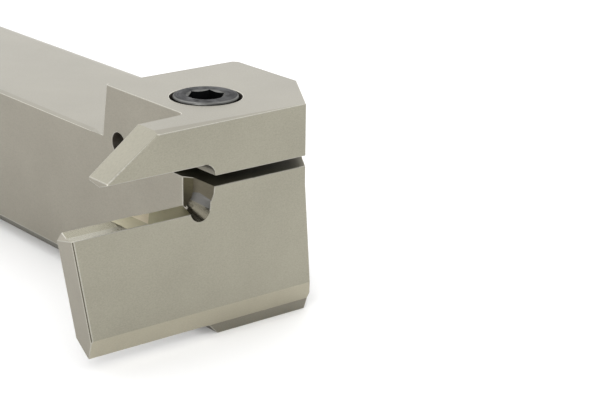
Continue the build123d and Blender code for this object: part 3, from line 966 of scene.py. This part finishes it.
class ThreadTree(ShapeTree):
    """Winds a vee thread round an upright axis, from its pointed end upwards.

    Attributes:
        row_shares: Heights of one turn's rows, as shares of the pitch: two on the crest, two in
            the root.
        crest_rows: Rows before this place are on the crest.
        lead_in: Widening of the pointed end for each unit upwards.
        tip_share: How far the end is under the root, as a share of the thread's depth.
        weld: Distance under which points of the grid and its end discs are one.
    """

    name = "vee_thread"
    inputs = {
        "Axis": "NodeSocketVector",
        "Radius": "NodeSocketFloat",
        "Depth": "NodeSocketFloat",
        "Pitch": "NodeSocketFloat",
        "Length": "NodeSocketFloat",
        "Columns": "NodeSocketInt",
    }
    row_shares = (0.0, 0.125, 0.4375, 0.6875)
    crest_rows = 1.5
    lead_in = 1.0
    tip_share = 0.4
    weld = 0.002 * MM

    def shape(self) -> bpy.types.NodeSocket:
        """Adds the nodes that roll a grid up along the helix and close its ends.

        Returns:
            The thread's geometry.
        """
        rows_per_turn = float(len(self.row_shares))
        whole = self.math("CEIL", self.math("DIVIDE", self.given("Length"), self.given("Pitch")))
        turns = self.math("ADD", whole, 1.0)
        rows = self.math("ADD", self.math("MULTIPLY", turns, rows_per_turn), 1.0)
        columns = self.math("ADD", self.given("Columns"), 1.0)
        grid = self.node("GeometryNodeMeshGrid", 1.0, 1.0, columns, rows)
        index = self.node("GeometryNodeInputIndex").outputs[0]
        column = self.math("FLOOR", self.math("DIVIDE", self.math("ADD", index, 0.5), rows))
        row = self.math("SUBTRACT", index, self.math("MULTIPLY", column, rows))
        turn = self.math("FLOOR", self.math("DIVIDE", self.math("ADD", row, 0.5), rows_per_turn))
        place = self.math("SUBTRACT", row, self.math("MULTIPLY", turn, rows_per_turn))
        share = self.node("GeometryNodeIndexSwitch", data_type="FLOAT")
        while len(share.index_switch_items) < len(self.row_shares):
            share.index_switch_items.new()
        self.tree.links.new(place, share.inputs[0])
        for socket, value in zip(share.inputs[1:], self.row_shares):
            socket.default_value = value
        around = self.math("DIVIDE", column, self.given("Columns"))
        wound_up = self.math("ADD", turn, share.outputs[0])
        climb = self.math("ADD", wound_up, self.math("SUBTRACT", around, 1.0))
        free_height = self.math("MULTIPLY", climb, self.given("Pitch"))
        height = self.math("MINIMUM", self.math("MAXIMUM", free_height, 0.0), self.given("Length"))
        minor = self.math("SUBTRACT", self.given("Radius"), self.given("Depth"))
        crest = self.math("LESS_THAN", place, self.crest_rows)
        short_of_end = self.math("LESS_THAN", free_height, self.given("Length"))
        raised = self.math("MULTIPLY", crest, short_of_end)
        rise = self.math("MULTIPLY", raised, self.given("Depth"))
        full = self.math("ADD", minor, rise)
        tip_drop = self.math("MULTIPLY", self.given("Depth"), self.tip_share)
        tip_radius = self.math("SUBTRACT", minor, tip_drop)
        led_in = self.math("ADD", tip_radius, self.math("MULTIPLY", height, self.lead_in))
        reach = self.math("MINIMUM", full, led_in)
        angle = self.math("MULTIPLY", around, 2 * pi)
        spot = self.node(
            "ShaderNodeCombineXYZ",
            self.math("MULTIPLY", self.math("COSINE", angle), reach),
            self.math("MULTIPLY", self.math("SINE", angle), reach),
            height,
        )
        wound = self.node("GeometryNodeSetPosition", grid.outputs["Mesh"])
        self.tree.links.new(spot.outputs[0], wound.inputs["Position"])
        joined = self.node("GeometryNodeJoinGeometry")
        for radius, level in ((minor, self.given("Length")), (tip_radius, 0.0)):
            columns_round = self.given("Columns")
            disc = self.node("GeometryNodeMeshCircle", columns_round, radius, fill_type="NGON")
            lift = self.node("ShaderNodeCombineXYZ", 0.0, 0.0, level)
            lifted = self.node("GeometryNodeSetPosition", disc.outputs["Mesh"])
            self.tree.links.new(lift.outputs[0], lifted.inputs["Offset"])
            self.tree.links.new(lifted.outputs["Geometry"], joined.inputs[0])
        self.tree.links.new(wound.outputs["Geometry"], joined.inputs[0])
        placed = self.node("GeometryNodeSetPosition", joined.outputs[0])
        self.tree.links.new(self.given("Axis"), placed.inputs["Offset"])
        welded = self.node("GeometryNodeMergeByDistance", placed.outputs["Geometry"])
        welded.inputs["Distance"].default_value = self.weld
        return welded.outputs["Geometry"]


# =====================================================================================
# Studio
# =====================================================================================
@dataclass
class Studio:
    """Pale floor, soft light and camera.

    Attributes:
        floor_half: Half the floor's side.
        floor_colour: The floor's reflectance.
        floor_roughness: The floor's roughness.
        floor_glow: Light that the lit floor gives from below.
        dim: Brightness of the studio's dim side.
        bright: Brightness of its bright side.
        bright_side: Direction of the bright side.
        side_low: Level of the side's dot product under which the light is dim.
        side_high: Level of it over which the light is bright.
        lamp_place: Where the lamp hangs.
        lamp_size: Its side.
        lamp_watts: Its power.
        camera_place: Where the camera stands.
        camera_turn: Azimuth, elevation and roll of the camera, in degrees.
        focal_px: Focal length for an image image_width wide.
        image_width: Width of the image.
        sensor_mm: Width of the camera's sensor.
        clip_start: Nearest distance that the camera sees.
    """

    floor_half: float = 3.0
    floor_colour: float = 0.8
    floor_roughness: float = 0.9
    floor_glow: float = 0.08
    dim: float = 0.55
    bright: float = 1.9
    bright_side: Triple = (-0.6, 0.5, 0.62)
    side_low: float = -0.3
    side_high: float = 0.9
    lamp_place: Triple = (0.40, -0.47, 0.32)
    lamp_size: float = 0.45
    lamp_watts: float = 2.6
    camera_place: Triple = (0.22313297, -0.15256665, 0.10173826)
    camera_turn: Triple = (-38.87, 18.41, 0.72)
    focal_px: float = 1762.936
    image_width: int = 600
    sensor_mm: float = 36.0
    clip_start: float = 0.01

    def floor(self) -> None:
        """Makes the floor."""
        half = self.floor_half
        mesh = bpy.data.meshes.new("floor")
        corners = [(-half, -half, 0), (half, -half, 0), (half, half, 0), (-half, half, 0)]
        mesh.from_pydata(corners, [], [(0, 1, 2, 3)])
        material = bpy.data.materials.new("pale_floor")
        material.use_nodes = True
        shader = material.node_tree.nodes["Principled BSDF"]
        shader.inputs["Base Color"].default_value = (*[self.floor_colour] * 3, 1.0)
        shader.inputs["Roughness"].default_value = self.floor_roughness
        shader.inputs["Emission Color"].default_value = (1.0, 1.0, 1.0, 1.0)
        shader.inputs["Emission Strength"].default_value = self.floor_glow
        mesh.materials.append(material)
        link(bpy.data.objects.new("floor", mesh))

    def world(self) -> None:
        """Lights the scene from all round, more from the bright side."""
        world = bpy.data.worlds.new("studio")
        bpy.context.scene.world = world
        world.use_nodes = True
        tree = world.node_tree
        back = tree.nodes["Background"]
        back.inputs["Color"].default_value = (1.0, 1.0, 1.0, 1.0)
        place = add_node(tree, "ShaderNodeTexCoord")
        towards = add_node(tree, "ShaderNodeVectorMath", operation="DOT_PRODUCT")
        towards.inputs[1].default_value = Vector(self.bright_side).normalized()
        tree.links.new(place.outputs["Generated"], towards.inputs[0])
        level = add_node(tree, "ShaderNodeMapRange", interpolation_type="SMOOTHSTEP")
        level.inputs["From Min"].default_value = self.side_low
        level.inputs["From Max"].default_value = self.side_high
        level.inputs["To Min"].default_value = self.dim
        level.inputs["To Max"].default_value = self.bright
        tree.links.new(towards.outputs["Value"], level.inputs["Value"])
        tree.links.new(level.outputs["Result"], back.inputs["Strength"])

    def lamp(self) -> None:
        """Adds a large soft light in front, to the left."""
        light = bpy.data.lights.new("softbox", "AREA")
        light.size = self.lamp_size
        light.energy = self.lamp_watts
        holder = link(bpy.data.objects.new("softbox", light))
        holder.location = self.lamp_place
        holder.rotation_euler = (-Vector(self.lamp_place)).to_track_quat("-Z", "Y").to_euler()

    def camera(self) -> None:
        """Places the camera."""
        azimuth, elevation, roll = (radians(angle) for angle in self.camera_turn)
        data = bpy.data.cameras.new("camera")
        data.sensor_width = self.sensor_mm
        data.lens = self.focal_px / self.image_width * self.sensor_mm
        data.clip_start = self.clip_start
        camera = link(bpy.data.objects.new("camera", data))
        turn = Matrix.Rotation(azimuth + pi / 2, 4, "Z")
        turn = turn @ Matrix.Rotation(pi / 2 - elevation, 4, "X")
        turn = turn @ Matrix.Rotation(roll, 4, "Z")
        camera.matrix_world = Matrix.Translation(self.camera_place) @ turn
        bpy.context.scene.camera = camera

    def build(self) -> None:
        """Sets up the studio."""
        self.floor()
        self.world()
        self.lamp()
        self.camera()
        bpy.context.scene.view_settings.view_transform = "Standard"


def link(thing: bpy.types.Object) -> bpy.types.Object:
    """Puts an object in the scene.

    Args:
        thing: The object.

    Returns:
        The same object.
    """
    bpy.context.scene.collection.objects.link(thing)
    return thing


def main() -> None:
    """Builds the studio and every piece."""
    logging.basicConfig(level=logging.INFO)
    grain_group()
    tone_group()
    Studio().build()
    body = HolderBody()
    steel = body.build()
    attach(steel, "holder")
    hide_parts(body.node)
    log.info("%s: %d faces before its edges are broken", steel.name, len(steel.data.polygons))
    screw = ClampScrew()
    rings_group(screw.axis)
    cap = screw.build()
    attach(cap, "screw")
    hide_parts(screw.node)
    log.info("%s: %d faces, %d ribs round its head", cap.name, len(cap.data.polygons), screw.ribs)


if __name__ == "__main__":
    main()
